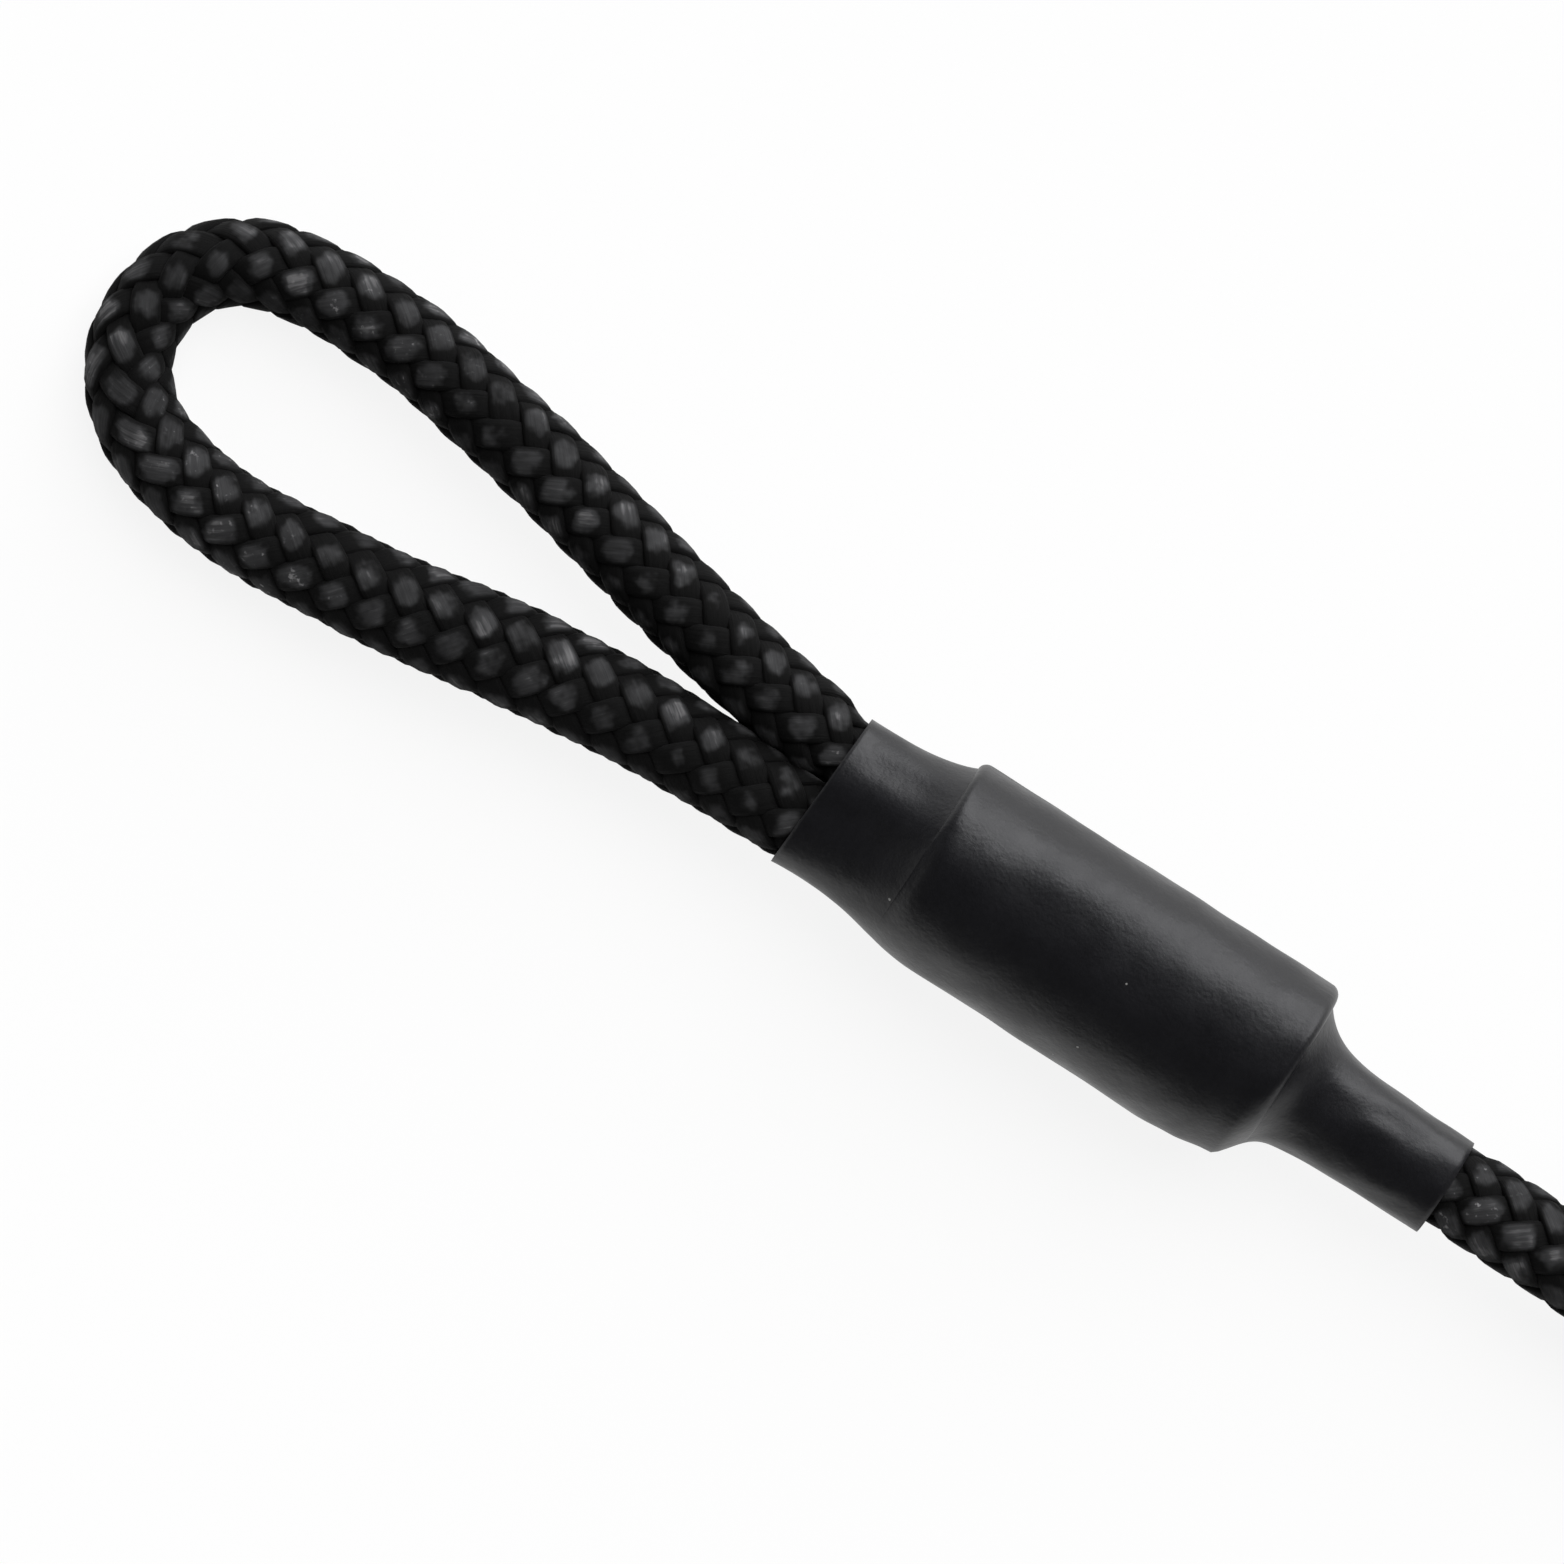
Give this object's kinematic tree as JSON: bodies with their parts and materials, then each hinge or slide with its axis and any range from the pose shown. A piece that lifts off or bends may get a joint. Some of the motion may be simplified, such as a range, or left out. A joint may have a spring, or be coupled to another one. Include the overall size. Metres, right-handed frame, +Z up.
{
  "type": "looped cord tether",
  "caption": "Short braided cord tether with a teardrop loop at each end, its legs glued in a sleeve under black heat-shrink tube, folded and tied as packed.",
  "frame": {"origin": "on the surface that it lies on, under the middle of the box of the near end: its loop and its shrink tube", "axes": "+X along the near shrink tube's axis from the loop to the cord's exit, +Z up from the surface"},
  "size_m": [0.186, 0.0266, 0.0098],
  "materials": {
    "braid": "braided polyester filament yarn, slight sheen",
    "core_yarn": "undyed straight filler yarns",
    "sleeve_metal": "drawn tube, cut ends deburred",
    "hot_glue": "set hot-melt glue",
    "shrink_film": "shrunk polyolefin tube, satin",
    "tie_strap": "hook-and-loop tape, napped outside"
  },
  "bodies": {
    "root": {"loop_cover": "braid", "loop_core": "core_yarn", "sleeve": "sleeve_metal", "glue_fill": "hot_glue", "shrink_tube": "shrink_film", "free_cord": "braid", "cord_tie": "tie_strap", "far_loop_cover": "braid", "far_loop_core": "core_yarn", "far_sleeve": "sleeve_metal", "far_glue_fill": "hot_glue", "far_shrink_tube": "shrink_film"}
  },
  "joints": []
}
